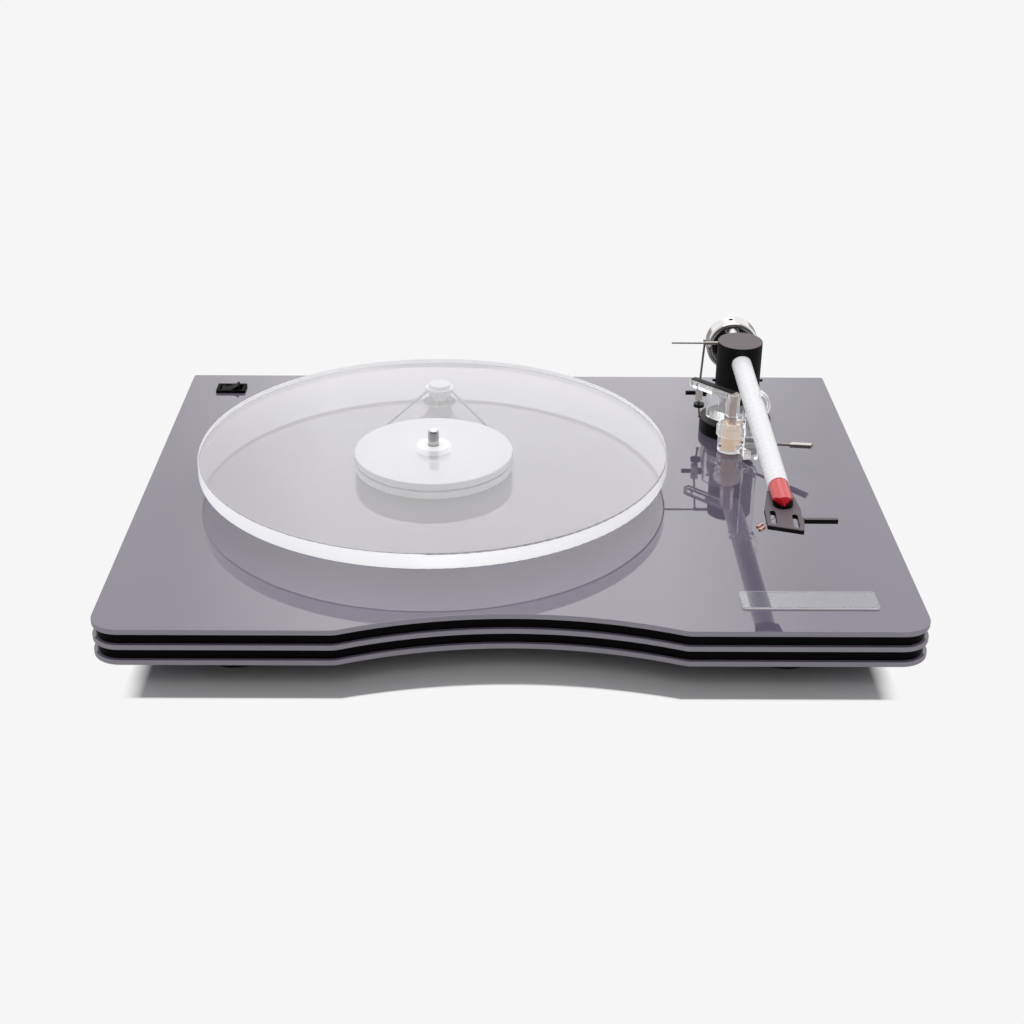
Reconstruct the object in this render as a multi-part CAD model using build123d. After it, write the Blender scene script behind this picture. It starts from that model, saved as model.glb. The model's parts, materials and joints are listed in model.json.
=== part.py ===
from build123d import *
import math
import os

# A belt-drive turntable with a layered plinth, a clear platter and a unipivot arm.
# Millimetres, +X right, +Y to the back, +Z up. The origin is on the floor under the
# middle of the plinth. Heights that start with a piece's own name are above the deck,
# which is the top face of the plinth.

# Plinth: three thin plates with two thicker cores set back between them
plinth_width = 466.4
plinth_depth = 370.6
plate_thickness = 3.2
core_thickness = 6.4
core_recess = 2.2
front_corner_radius = 17.0
back_corner_radius = 2.0
bow_half_width = 97.2
bow_depth = 18.7
bow_corner_radius = 14.0
plate_edge_round = 0.4
side_screw_inset = 28.0
side_screw_from_back = 81.5
side_screw_from_front = 118.6
end_screw_x = 46.6
end_screw_from_back = 22.2
end_screw_from_front = 59.3

# Feet under the corners
foot_height = 11.4
foot_radius = 20.0
foot_rim_round = 1.0
foot_x = 155.8
foot_from_end = 35.3

# Clearances shared by every fit
running_gap = 0.03
seat_gap = 0.05
slip_gap = 0.15
clear_gap = 0.3
cut_overrun = 1.0

# Machine screws
screw_radius = 2.0
screw_head_radius = 4.0
screw_head_height = 2.2
hex_key_width = 2.5
hex_key_depth = 1.2
small_screw_radius = 1.5
small_screw_head_radius = 2.8
small_screw_head_height = 1.6

# Main bearing, sub-platter and platter, on one upright axis
spindle_x = -49.3
spindle_from_back = 175.9
housing_radius = 11.0
housing_flange_radius = 20.0
housing_flange_height = 3.0
housing_drop = 28.0
housing_floor = 2.5
bearing_nut_radius = 17.0
bearing_nut_height = 4.8
ball_radius = 2.5
shaft_radius = 5.0
record_pin_radius = 3.55
record_pin_height = 10.2
record_pin_tip_round = 1.4
record_pin_neck_radius = 3.2
record_pin_neck_height = 0.4
sub_platter_radius = 51.0
sub_platter_underside = 3.4
sub_platter_edge_round = 0.5
boss_radius = 10.6
platter_radius = 150.0
platter_underside = 13.9
platter_thickness = 10.0
platter_edge_round = 0.8

# Belt, round in section, and its centre's radius on the pulley
belt_radius = 0.75
belt_height = 8.6
belt_pulley_radius = 6.7

# Motor and pulley
motor_from_back = 62.8
pulley_top = 13.3
pulley_cap_radius = 7.5
pulley_cap_height = 2.7
pulley_flange_radius = 9.9
pulley_lower_radius = 8.0
pulley_lower_height = 2.0
pulley_hub_radius = 5.0
pulley_foot = 1.6
deck_hole_radius = 11.4
motor_shaft_radius = 1.5
motor_can_radius = 25.0
motor_can_wall = 1.0
motor_can_height = 18.6
motor_plate_radius = 34.0
motor_plate_thickness = 1.6
motor_boss_radius = 7.0
motor_boss_height = 3.0
motor_rotor_radius = 15.0
motor_stator_inner = 16.0
motor_gap = 2.0
motor_screw_circle = 29.5
motor_screw_count = 3
pocket_margin = 1.5

# Rocker switch
switch_from_left = 31.4
switch_from_back = 27.9
bezel_length = 21.0
bezel_width = 14.2
bezel_height = 2.0
bezel_round = 0.8
switch_body_length = 19.2
switch_body_width = 12.8
switch_body_depth = 12.0
switch_wall = 1.6
switch_floor = 2.0
rocker_half_length = 6.3
rocker_width = 9.0
rocker_rise = 4.2
rocker_sag = 1.7
rocker_depth = 3.4
rocker_pivot_height = -0.6
rocker_tilt = 13.0
rocker_pin_radius = 1.0

# Control board and its parts, in a pocket of the lower core
board_x = -128.0
board_from_back = 57.3
board_length = 58.0
board_width = 34.0
board_thickness = 1.2
board_margin = 2.0
capacitor_radius = 2.0
capacitor_length = 14.0
chip_length = 9.0
chip_width = 6.0
chip_height = 2.0
cable_hole_radius = 3.5

# Name plate, left bare
name_plate_from_right = 64.7
name_plate_from_front = 34.3
name_plate_length = 77.3
name_plate_width = 18.9
name_plate_thickness = 1.2
name_plate_corner = 2.0

# Connection blocks under the back edge
socket_block_x = 96.0
inlet_block_x = -96.0
block_from_back = 17.3
socket_block_length = 44.0
inlet_block_length = 22.0
block_depth = 24.0
block_drop = 10.0
socket_radius = 4.15
socket_hole_radius = 1.6
socket_length = 9.0
socket_pitch = 15.0
socket_flange_radius = 5.0
socket_flange_height = 1.0
earth_post_radius = 2.0
earth_knob_radius = 3.6
earth_knob_height = 4.0
inlet_hole_radius = 2.8
inlet_depth = 9.0

# Arm base and pillar
arm_x = 155.9
arm_from_back = 94.3
drum_radius = 24.5
drum_height = 9.2
drum_edge_round = 0.6
stem_radius = 8.0
stem_drop = 29.0
stem_nut_radius = 15.0
stem_nut_height = 5.0
pillar_radius = 7.0
pillar_top = 38.0
pillar_neck_radius = 3.6
pillar_neck_top = 46.0
spike_radius = 1.4
spike_seat_depth = 6.0
spike_cone_height = 5.0
spike_tip_radius = 0.25
pivot_height = 53.3

# The arm, in its own level frame with the pivot point at zero, tip towards -Y
rest_droop = 1.56
rest_yaw = 0.35
cup_radius = 15.1
cup_wall = 3.0
cup_top = 11.5
cup_bottom = -26.5
cup_roof = 6.5
cup_edge_round = 0.5
cup_seam_turn = 45.0
jewel_radius = 3.0
jewel_height = 3.2
jewel_dimple_radius = 1.1
jewel_dimple_depth = 1.6
jewel_screw_radius = 2.2
tube_root_radius = 6.6
tube_tip_radius = 6.3
tube_wall = 0.8
tube_end = 193.0
cap_radius = 5.9
cap_seat = 8.0
cap_length = 23.9
cap_ridge_run = 4.1
cap_nose_half_angle = 36.0
cap_split_height = -0.2
nose_foot_radius = 5.85
balance_screw_height = -17.6
balance_screw_reach = 2.0
balance_screw_radius = 0.9

# Headshell, an angled plate with two staggered slots
shell_top = -2.0
shell_thickness = 2.8
shell_back = 0.6
shell_back_left = -6.7
shell_back_right = 7.0
shell_waist = 9.4
shell_waist_left = -8.4
shell_waist_right = 8.2
shell_shoulder = 23.0
shell_shoulder_left = -11.1
shell_shoulder_right = 9.6
shell_neck = 31.0
shell_neck_right = 8.9
shell_tab = 34.0
shell_tab_right = 9.9
shell_front_left = -11.7
shell_front_left_reach = 42.5
shell_front_right = 7.8
shell_front_right_reach = 48.7
shell_edge_round = 0.35
slot_width = 3.2
slot_length = 15.6
slot_spacing = 12.0
slot_middle_x = -1.3
slot_middle_reach = 35.6
slot_stagger = 4.3
slot_angle = 2.6
finger_width = 2.3
finger_height = 2.7
finger_tip = 28.8
finger_reach = 34.8

# Cartridge leads, four thin wires with clips
lead_radius = 0.55
lead_bore_radius = 3.6
lead_bend_radius = 4.0
lead_start = 204.0
lead_height = -5.9
lead_pitch = 1.8
lead_first_x = -2.7
lead_1_turn = 216.7
lead_1_reach = 15.6
lead_2_turn = 219.4
lead_2_reach = 17.0
lead_3_turn = 222.6
lead_3_reach = 8.0
lead_4_turn = 225.4
lead_4_reach = 6.0
lead_heading = 45.8
clip_radius = 0.95
clip_length = 4.6
clip_bore_radius = 0.6
clip_bore_depth = 3.0

# Counterweight on the stub behind the cup, hung low
stub_radius = 5.0
stub_end = 60.0
stub_round = 0.8
weight_radius = 18.15
weight_length = 16.0
weight_front = 39.6
weight_drop = 10.2
weight_turn = 6.0
weight_edge_round = 3.4
weight_recess_radius = 12.4
weight_recess_depth = 6.0
weight_insert_radius = 12.3
weight_insert_bore = 8.0
weight_screw_radius = 1.6

# Side wire of the arm, which pushes the bias lever
side_wire_radius = 0.65
side_wire_height = 9.7
side_wire_reach = 46.4
side_collar_radius = 1.1
side_collar_reach = 24.4

# Bias lever: a rod on a sideways axle, with a weight below
bias_from_arm_x = -26.8
bias_from_arm_y = -7.0
bias_axle_height = 29.5
bias_block_width = 4.8
bias_block_depth = 5.0
bias_block_height = 10.0
bias_rod_radius = 0.75
bias_rod_top = 63.0
bias_rod_lean_x = 3.2
bias_rod_lean_y = 10.2
bias_knob_radius = 1.1
bias_knob_height = 1.4
bias_foot_height = 12.8
bias_foot_lean_x = 1.2
bias_weight_radius = 3.65
bias_weight_thickness = 2.2
bias_weight_height = 20.6
bias_axle_radius = 1.0
bias_screw_radius = 1.5
bias_screw_length = 6.4
bias_collar_radius = 2.4
bias_collar_length = 2.4

# Arm lift: bracket, cylinder, plunger with its bar, and lever
lift_from_arm_x = -7.9
lift_from_arm_y = -39.5
bracket_bottom = 13.6
bracket_thickness = 6.0
bracket_ring_radius = 12.0
bracket_arm_width = 12.0
bracket_eye_radius = 9.8
web_inner_radius = 20.6
web_thickness = 2.8
web_start_angle = 203.0
web_end_angle = 248.0
web_top = 35.4
cylinder_radius = 8.5
cylinder_bottom = 2.0
cylinder_top = 21.3
cylinder_edge_round = 0.5
cylinder_bore = 6.2
cylinder_floor = 1.6
sleeve_top = 20.0
plunger_radius = 2.9
plunger_tip_radius = 0.4
plunger_tip_length = 5.0
plunger_top = 41.5
skirt_radius = 4.5
skirt_bottom = 27.0
bar_from_arm_x = -33.1
bar_from_arm_y = -13.4
bar_overhang = 4.6
bar_width = 6.4
bar_thickness = 4.6
bar_top = 42.7
pad_width = 4.2
pad_thickness = 0.8
pad_inset = 1.4
lever_axis_height = 6.7
lever_offset = 3.7
lever_end_from_lift_x = 49.0
lever_end_from_lift_y = -29.9
lever_end_height = 18.2
lever_rod_radius = 1.0
handle_length = 15.0
handle_width = 4.4
handle_thickness = 2.6
handle_round = 0.5
lever_hub_radius = 2.0
lever_hub_length = 4.4
lever_pin_radius = 1.0
lever_pin_length = 15.0
lever_slot_width = 3.0

# Arm rest: a clear strap, block and leaning post that carry an open clip
rest_reach = 79.0
rest_post_width = 9.2
rest_thickness = 5.0
rest_block_from_arm_x = 3.2
rest_block_from_arm_y = -56.5
rest_block_depth = 7.0
rest_block_top = 12.8
rest_post_top = 20.6
rest_lean_thickness = 4.0
rest_strap_width = 5.0
rest_strap_bottom = 3.9
rest_strap_top = 7.9
rest_clip_radius = 10.2
rest_clip_wall = 1.5
rest_jaw_reach = 10.4
rest_jaw_thickness = 3.0
rest_jaw_gap = 0.5
rest_clip_top_angle = 66.0

# Heights and places worked out from the sizes above
bottom_plate_z = foot_height
lower_core_z = bottom_plate_z + plate_thickness
middle_plate_z = lower_core_z + core_thickness
upper_core_z = middle_plate_z + plate_thickness
top_plate_z = upper_core_z + core_thickness
deck = top_plate_z + plate_thickness
platter_top = platter_underside + platter_thickness
belt_z = deck + belt_height
belt_sub_radius = sub_platter_radius - belt_radius
half_width = plinth_width / 2
half_depth = plinth_depth / 2
foot_y = half_depth - foot_from_end
spindle_y = half_depth - spindle_from_back
motor_y = half_depth - motor_from_back
switch_x = switch_from_left - half_width
switch_y = half_depth - switch_from_back
board_y = half_depth - board_from_back
name_plate_x = half_width - name_plate_from_right
name_plate_y = name_plate_from_front - half_depth
block_y = half_depth - block_from_back
arm_y = half_depth - arm_from_back
bias_axle_x = arm_x + bias_from_arm_x
bias_axle_y = arm_y + bias_from_arm_y
lift_x = arm_x + lift_from_arm_x
lift_y = arm_y + lift_from_arm_y
upright = (Align.CENTER, Align.CENTER, Align.MIN)
hanging = (Align.CENTER, Align.CENTER, Align.MAX)


# Shared helpers
def post(radius, bottom, top, x=0, y=0):
    return Pos(x, y, bottom) * Cylinder(radius, top - bottom, align=upright)


def block(length, width, bottom, top, x=0, y=0):
    return Pos(x, y, bottom) * Box(length, width, top - bottom, align=upright)


def rod(start, end, radius):
    line = Vector(*end) - Vector(*start)
    return Plane(origin=start, z_dir=line) * Cylinder(radius, line.length, align=upright)


def ring(outer, inner, bottom, top, x=0, y=0):
    bore = post(inner, bottom - cut_overrun, top + cut_overrun, x, y)
    return post(outer, bottom, top, x, y) - bore


def bar_between(start, end, width, bottom, top):
    run = Vector(*end) - Vector(*start)
    middle = (Vector(*start) + Vector(*end)) / 2
    turn = math.degrees(math.atan2(run.Y, run.X))
    return Pos(middle.X, middle.Y, bottom) * Rot(0, 0, turn) * Box(
        run.length, width, top - bottom, align=upright)


def leaning_bar(start, end, width, thickness):
    line = Vector(*end) - Vector(*start)
    return Plane(origin=start, x_dir=(1, 0, 0), z_dir=line) * Box(
        width, thickness, line.length, align=upright)


def rim_edges(solid, low, high):
    ends = solid.edges().filter_by(GeomType.CIRCLE)
    return [edge for edge in ends if low <= edge.center().Z <= high]


def on_arm(shape):
    tilt = Rot(0, 0, -rest_yaw) * Rot(rest_droop, 0, 0)
    return Pos(arm_x, arm_y, deck + pivot_height) * tilt * shape


def along_arm(radius, start, end, x=0, z=0):
    return rod((x, -start, z), (x, -end, z), radius)


def tapered_along_arm(start_radius, end_radius, start, end):
    cone = Cone(start_radius, end_radius, end - start, align=upright)
    return Plane(origin=(0, -start, 0), z_dir=(0, -1, 0)) * cone


def countersunk_screw(length):
    cone = Cone(screw_radius, screw_head_radius, screw_head_height, align=hanging)
    shank = Cylinder(screw_radius, length, align=hanging)
    key = extrude(RegularPolygon(hex_key_width / 2, 6), -hex_key_depth)
    return cone + shank - key


def pan_screw(length):
    head = Cylinder(small_screw_head_radius, small_screw_head_height, align=upright)
    shank = Cylinder(small_screw_radius, length, align=hanging)
    key = Pos(0, 0, small_screw_head_height) * extrude(
        RegularPolygon(hex_key_width / 2, 6), -hex_key_depth / 2)
    return head + shank - key


# Plinth
def plinth_outline():
    front = -half_depth
    face = make_face([
        ThreePointArc((-bow_half_width, front), (0, front + bow_depth), (bow_half_width, front)),
        Line((bow_half_width, front), (half_width, front)),
        Line((half_width, front), (half_width, half_depth)),
        Line((half_width, half_depth), (-half_width, half_depth)),
        Line((-half_width, half_depth), (-half_width, front)),
        Line((-half_width, front), (-bow_half_width, front)),
    ])
    outer = (half_width + bow_half_width) / 2
    front_corners = [v for v in face.vertices() if abs(v.X) > outer and v.Y < 0]
    face = fillet(front_corners, front_corner_radius)
    back_corners = [v for v in face.vertices() if abs(v.X) > outer and v.Y > 0]
    face = fillet(back_corners, back_corner_radius)
    bows = [v for v in face.vertices() if abs(abs(v.X) - bow_half_width) < cut_overrun]
    return fillet(bows, bow_corner_radius)


def plate_blank(bottom):
    blank = Pos(0, 0, bottom) * extrude(plinth_outline(), plate_thickness)
    flat_faces = blank.faces().sort_by(Axis.Z)
    edges = flat_faces[0].edges() + flat_faces[-1].edges()
    return fillet(edges, plate_edge_round)


def core_blank(bottom):
    return Pos(0, 0, bottom) * extrude(offset(plinth_outline(), -core_recess), core_thickness)


plinth_screw_places = [
    (x * turn, y)
    for turn in (-1, 1)
    for x, y in (
        (half_width - side_screw_inset, half_depth - side_screw_from_back),
        (half_width - side_screw_inset, side_screw_from_front - half_depth),
        (end_screw_x, half_depth - end_screw_from_back),
        (end_screw_x, end_screw_from_front - half_depth),
    )
]
foot_places = [(x, y) for x in (-foot_x, foot_x) for y in (-foot_y, foot_y)]
motor_screw_places = [
    (motor_screw_circle * math.cos(turn), motor_screw_circle * math.sin(turn))
    for turn in (2 * math.pi * i / motor_screw_count for i in range(motor_screw_count))
]


def hole(radius, bottom, top, x, y):
    return post(radius, bottom - cut_overrun, top + cut_overrun, x, y)


def shared_holes(bottom, top):
    return [
        hole(housing_radius + slip_gap, bottom, top, spindle_x, spindle_y),
        hole(stem_radius + slip_gap, bottom, top, arm_x, arm_y),
    ]


def switch_hole(bottom, top):
    return block(switch_body_length + slip_gap * 2, switch_body_width + slip_gap * 2,
                 bottom - cut_overrun, top + cut_overrun, switch_x, switch_y)


def screw_holes(places, radius, bottom, top):
    return [hole(radius + slip_gap, bottom, top, x, y) for x, y in places]


def motor_hole(radius, bottom, top):
    return hole(radius, bottom, top, spindle_x, motor_y)


def top_plate():
    top = top_plate_z + plate_thickness
    cuts = shared_holes(top_plate_z, top)
    cuts += [switch_hole(top_plate_z, top), motor_hole(deck_hole_radius, top_plate_z, top)]
    return plate_blank(top_plate_z) - cuts


def upper_core():
    top = upper_core_z + core_thickness
    cuts = shared_holes(upper_core_z, top)
    cuts += [switch_hole(upper_core_z, top)]
    cuts += [motor_hole(motor_plate_radius + pocket_margin, upper_core_z, top)]
    cuts += screw_holes(plinth_screw_places, screw_radius, upper_core_z,
                        upper_core_z + core_thickness / 2)
    return core_blank(upper_core_z) - cuts


def middle_plate():
    top = middle_plate_z + plate_thickness
    cuts = shared_holes(middle_plate_z, top)
    cuts += [switch_hole(middle_plate_z, top)]
    cuts += [motor_hole(motor_can_radius + slip_gap, middle_plate_z, top)]
    cuts += screw_holes(plinth_screw_places, screw_radius, middle_plate_z, top)
    cuts += screw_holes(motor_screw_points(), small_screw_radius, middle_plate_z, top)
    return plate_blank(middle_plate_z) - cuts


def board_pocket():
    return block(board_length + board_margin * 2, board_width + board_margin * 2,
                 lower_core_z - cut_overrun, lower_core_z + core_thickness + cut_overrun,
                 board_x, board_y)


def lower_core():
    top = lower_core_z + core_thickness
    cuts = shared_holes(lower_core_z, top)
    cuts += [switch_hole(lower_core_z, top), board_pocket()]
    cuts += [motor_hole(motor_can_radius + pocket_margin, lower_core_z, top)]
    cuts += screw_holes(plinth_screw_places, screw_radius, lower_core_z, top)
    cuts += screw_holes(foot_places, screw_radius, lower_core_z, lower_core_z + core_thickness / 2)
    cuts += screw_holes(motor_screw_points(), small_screw_radius, lower_core_z, top)
    return core_blank(lower_core_z) - cuts


def bottom_plate():
    top = bottom_plate_z + plate_thickness
    cuts = shared_holes(bottom_plate_z, top)
    cuts += [motor_hole(motor_can_radius + pocket_margin, bottom_plate_z, top)]
    cuts += screw_holes(plinth_screw_places, screw_radius, bottom_plate_z, top)
    cuts += screw_holes(foot_places, screw_radius, bottom_plate_z, top)
    cuts += [hole(cable_hole_radius, bottom_plate_z, top, inlet_block_x, block_y)]
    sink = Cone(screw_head_radius + slip_gap * 2, screw_radius + slip_gap,
                screw_head_height + slip_gap, align=upright)
    cuts += [Pos(x, y, bottom_plate_z) * sink for x, y in plinth_screw_places]
    return plate_blank(bottom_plate_z) - cuts


def plinth_screws():
    length = upper_core_z + core_thickness / 2 - bottom_plate_z
    screw = Rot(180, 0, 0) * countersunk_screw(length)
    return [Pos(x, y, bottom_plate_z) * screw for x, y in plinth_screw_places]


# Feet
def feet():
    body = post(foot_radius, 0, foot_height)
    body = fillet(rim_edges(body, 0, 0), foot_rim_round)
    seat = post(screw_head_radius + slip_gap * 2, 0, foot_height - screw_head_height)
    body -= seat + post(screw_radius + slip_gap, 0, foot_height + cut_overrun)
    return [Pos(x, y, 0) * body for x, y in foot_places]


def foot_screws():
    head_z = foot_height - screw_head_height
    length = lower_core_z + core_thickness / 2 - head_z - seat_gap
    screw = Pos(0, 0, head_z) * Rot(180, 0, 0) * pan_head_up(length)
    return [Pos(x, y, 0) * screw for x, y in foot_places]


def pan_head_up(length):
    head = Cylinder(screw_head_radius, screw_head_height, align=upright)
    shank = Cylinder(screw_radius, length, align=hanging)
    key = Pos(0, 0, screw_head_height) * extrude(
        RegularPolygon(hex_key_width / 2, 6), -hex_key_depth)
    return head + shank - key


# Main bearing
def bearing_housing():
    bottom = deck - housing_drop
    body = post(housing_radius, bottom, deck)
    body += post(housing_flange_radius, deck, deck + housing_flange_height)
    body -= post(shaft_radius + running_gap, bottom + housing_floor,
                 deck + housing_flange_height + cut_overrun)
    return Pos(spindle_x, spindle_y, 0) * body


def ball_centre():
    return deck - housing_drop + housing_floor + ball_radius + seat_gap


def thrust_ball():
    return Pos(spindle_x, spindle_y, ball_centre()) * Sphere(ball_radius)


def spindle_shaft():
    shoulder = deck + platter_top - record_pin_radius
    top = deck + platter_top + record_pin_height
    neck_top = deck + platter_top + record_pin_neck_height
    shaft = post(shaft_radius, ball_centre(), shoulder)
    shaft += post(record_pin_neck_radius, shoulder, neck_top)
    pin = post(record_pin_radius, neck_top, top)
    pin = fillet(rim_edges(pin, top, top), record_pin_tip_round)
    shaft = shaft + pin - Pos(0, 0, ball_centre()) * Sphere(ball_radius + seat_gap)
    return Pos(spindle_x, spindle_y, 0) * shaft


def sub_platter():
    bottom = deck + sub_platter_underside
    top = deck + platter_underside - seat_gap
    disc = post(sub_platter_radius, bottom, top)
    disc = fillet(rim_edges(disc, bottom, top), sub_platter_edge_round)
    disc += post(boss_radius, top, deck + platter_top)
    groove = Pos(0, 0, belt_z) * Torus(belt_sub_radius, belt_radius + seat_gap)
    mouth = ring(sub_platter_radius + cut_overrun, belt_sub_radius,
                 belt_z - belt_radius - seat_gap, belt_z + belt_radius + seat_gap)
    disc -= groove + mouth
    shoulder = deck + platter_top - record_pin_radius
    disc -= post(shaft_radius + running_gap, 0, shoulder + seat_gap)
    disc -= post(record_pin_radius + running_gap, shoulder, deck + platter_top + cut_overrun)
    return Pos(spindle_x, spindle_y, 0) * disc


def platter():
    bottom = deck + platter_underside
    top = deck + platter_top
    disc = post(platter_radius, bottom, top)
    disc = fillet(rim_edges(disc, bottom, top), platter_edge_round)
    disc -= hole(boss_radius + seat_gap, bottom, top, 0, 0)
    return Pos(spindle_x, spindle_y, 0) * disc


# Belt: two arcs and two straight runs that touch both of them
def drive_belt():
    span = motor_y - spindle_y
    lean = math.asin((belt_sub_radius - belt_pulley_radius) / span)
    side = math.cos(lean)
    lift = math.sin(lean)
    runs = []
    for sign in (-1, 1):
        start = (sign * belt_sub_radius * side, belt_sub_radius * lift, 0)
        end = (sign * belt_pulley_radius * side, span + belt_pulley_radius * lift, 0)
        runs.append(rod(start, end, belt_radius))
    sweep_back = 180 - 2 * math.degrees(lean)
    pulley_arc = belt_arc(belt_pulley_radius, math.degrees(lean), sweep_back)
    sub_arc = belt_arc(belt_sub_radius, 180 - math.degrees(lean), 180 + 2 * math.degrees(lean))
    loop = runs[0] + runs[1] + sub_arc + Pos(0, span, 0) * pulley_arc
    return Pos(spindle_x, spindle_y, belt_z) * loop


def belt_arc(radius, start, sweep):
    section = Plane.XZ * Pos(radius, 0) * Circle(belt_radius)
    return Rot(0, 0, start) * revolve(section, Axis.Z, sweep)


# Motor
def motor_screw_points():
    return [(spindle_x + x, motor_y + y) for x, y in motor_screw_places]


def motor_can():
    top = upper_core_z
    body = post(motor_can_radius, top - motor_can_height, top)
    body -= post(motor_can_radius - motor_can_wall, top - motor_can_height + motor_can_wall,
                 top + cut_overrun)
    return Pos(spindle_x, motor_y, 0) * body


def motor_plate():
    bottom = upper_core_z
    top = bottom + motor_plate_thickness
    plate = post(motor_plate_radius, bottom, top)
    plate += post(motor_boss_radius, top, top + motor_boss_height)
    plate -= hole(motor_shaft_radius + running_gap, bottom, top + motor_boss_height, 0, 0)
    for x, y in motor_screw_places:
        plate -= hole(small_screw_radius + slip_gap, bottom, top, x, y)
    return Pos(spindle_x, motor_y, 0) * plate


def motor_screws():
    length = motor_plate_thickness + plate_thickness + core_thickness / 2
    seat = upper_core_z + motor_plate_thickness
    return [Pos(x, y, seat) * pan_screw(length) for x, y in motor_screw_points()]


def motor_core_span():
    low = upper_core_z - motor_can_height + motor_can_wall + motor_gap
    return low, upper_core_z - motor_gap


def motor_stator():
    low, high = motor_core_span()
    return ring(motor_can_radius - motor_can_wall - seat_gap, motor_stator_inner,
                low - motor_gap, high, spindle_x, motor_y)


def motor_rotor():
    low, high = motor_core_span()
    return ring(motor_rotor_radius, motor_shaft_radius + seat_gap, low, high, spindle_x, motor_y)


def motor_shaft():
    low = upper_core_z - motor_can_height + motor_can_wall + clear_gap
    return post(motor_shaft_radius, low, deck + pulley_top - pulley_cap_height / 2,
                spindle_x, motor_y)


def motor_pulley():
    top = deck + pulley_top
    cap_low = top - pulley_cap_height
    flange_low = belt_z + belt_radius + seat_gap
    lower_top = belt_z - belt_radius - seat_gap
    lower_low = lower_top - pulley_lower_height
    body = post(pulley_cap_radius, cap_low, top)
    body = fillet(rim_edges(body, top, top), sub_platter_edge_round)
    body += post(pulley_flange_radius, flange_low, cap_low)
    body += post(belt_pulley_radius - belt_radius / 2, lower_top, flange_low)
    body += post(pulley_lower_radius, lower_low, lower_top)
    body += post(pulley_hub_radius, deck + pulley_foot, lower_low)
    body -= Pos(0, 0, belt_z) * Torus(belt_pulley_radius, belt_radius + seat_gap)
    body -= post(motor_shaft_radius + seat_gap, 0, top - pulley_cap_height / 2 + seat_gap)
    return Pos(spindle_x, motor_y, 0) * body


# Switch
def switch_housing():
    bezel = block(bezel_length, bezel_width, deck, deck + bezel_height)
    bezel = fillet(bezel.edges().filter_by(Axis.Z), bezel_round)
    bezel = fillet(bezel.faces().sort_by(Axis.Z)[-1].edges(), bezel_round / 2)
    body = block(switch_body_length, switch_body_width, deck - switch_body_depth, deck)
    well = block(switch_body_length - switch_wall * 2, rocker_width + clear_gap * 2,
                 deck - switch_body_depth + switch_floor, deck + bezel_height + cut_overrun)
    pin = Pos(0, 0, deck + rocker_pivot_height) * Rot(90, 0, 0) * Cylinder(
        rocker_pin_radius, rocker_width + clear_gap * 2)
    return Pos(switch_x, switch_y, 0) * (bezel + body - well + pin)


def rocker_profile():
    return make_face([
        ThreePointArc((-rocker_half_length, rocker_rise), (0, rocker_rise - rocker_sag),
                      (rocker_half_length, rocker_rise)),
        Line((rocker_half_length, rocker_rise), (rocker_half_length, 0)),
        ThreePointArc((rocker_half_length, 0), (0, -rocker_depth), (-rocker_half_length, 0)),
        Line((-rocker_half_length, 0), (-rocker_half_length, rocker_rise)),
    ])


def switch_rocker():
    body = extrude(Plane.XZ * rocker_profile(), rocker_width / 2, both=True)
    body = fillet(body.edges().filter_by(Axis.Y), clear_gap)
    body -= Rot(90, 0, 0) * Cylinder(rocker_pin_radius + seat_gap, rocker_width + cut_overrun)
    place = Pos(switch_x, switch_y, deck + rocker_pivot_height)
    return place * Rot(0, -rocker_tilt, 0) * body


# Control board, stuck to the bottom plate
def control_board():
    low = lower_core_z
    top = low + board_thickness
    pieces = [block(board_length, board_width, low, top, board_x, board_y)]
    for side in (-1, 1):
        x = board_x + side * board_length / 4
        y = board_y + board_width / 4
        level = top + capacitor_radius
        pieces.append(rod((x - capacitor_length / 2, y, level), (x + capacitor_length / 2, y, level),
                          capacitor_radius))
        pieces.append(block(chip_length, chip_width, top, top + chip_height, x,
                            board_y - board_width / 4))
    return pieces


# Name plate and connection blocks
def name_plate():
    low = deck + seat_gap
    plate = block(name_plate_length, name_plate_width, low, low + name_plate_thickness,
                  name_plate_x, name_plate_y)
    plate = fillet(plate.edges().filter_by(Axis.Z), name_plate_corner)
    return fillet(plate.faces().sort_by(Axis.Z)[-1].edges(), plate_edge_round / 2)


def block_back():
    return block_y + block_depth / 2


def block_level():
    return bottom_plate_z - block_drop / 2


def socket_block():
    body = block(socket_block_length, block_depth, bottom_plate_z - block_drop, bottom_plate_z,
                 socket_block_x, block_y)
    body = fillet(body.edges().filter_by(Axis.Z), bezel_round)
    return body - [rod((x, block_back() - socket_flange_radius, block_level()),
                       (x, block_back() + cut_overrun, block_level()), radius + seat_gap)
                   for x, radius in socket_places()]


def socket_places():
    return [
        (socket_block_x - socket_pitch, socket_radius),
        (socket_block_x, socket_radius),
        (socket_block_x + socket_pitch, earth_post_radius),
    ]


def rear_terminals():
    x = socket_places()[2][0]
    face = block_back()
    stem = rod((x, face - socket_flange_radius, block_level()),
               (x, face + earth_knob_height, block_level()), earth_post_radius)
    knob = rod((x, face + seat_gap, block_level()),
               (x, face + earth_knob_height, block_level()), earth_knob_radius)
    sockets = [stem + knob]
    for x, radius in socket_places()[:2]:
        barrel = rod((x, face - socket_flange_radius, block_level()),
                     (x, face + socket_length - block_depth / 4, block_level()), radius)
        collar = rod((x, face, block_level()), (x, face + socket_flange_height, block_level()),
                     block_drop / 2 - seat_gap)
        bore = rod((x, face + socket_flange_height, block_level()),
                   (x, face + socket_length, block_level()), socket_hole_radius)
        sockets.append(barrel + collar - bore)
    return sockets


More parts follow.
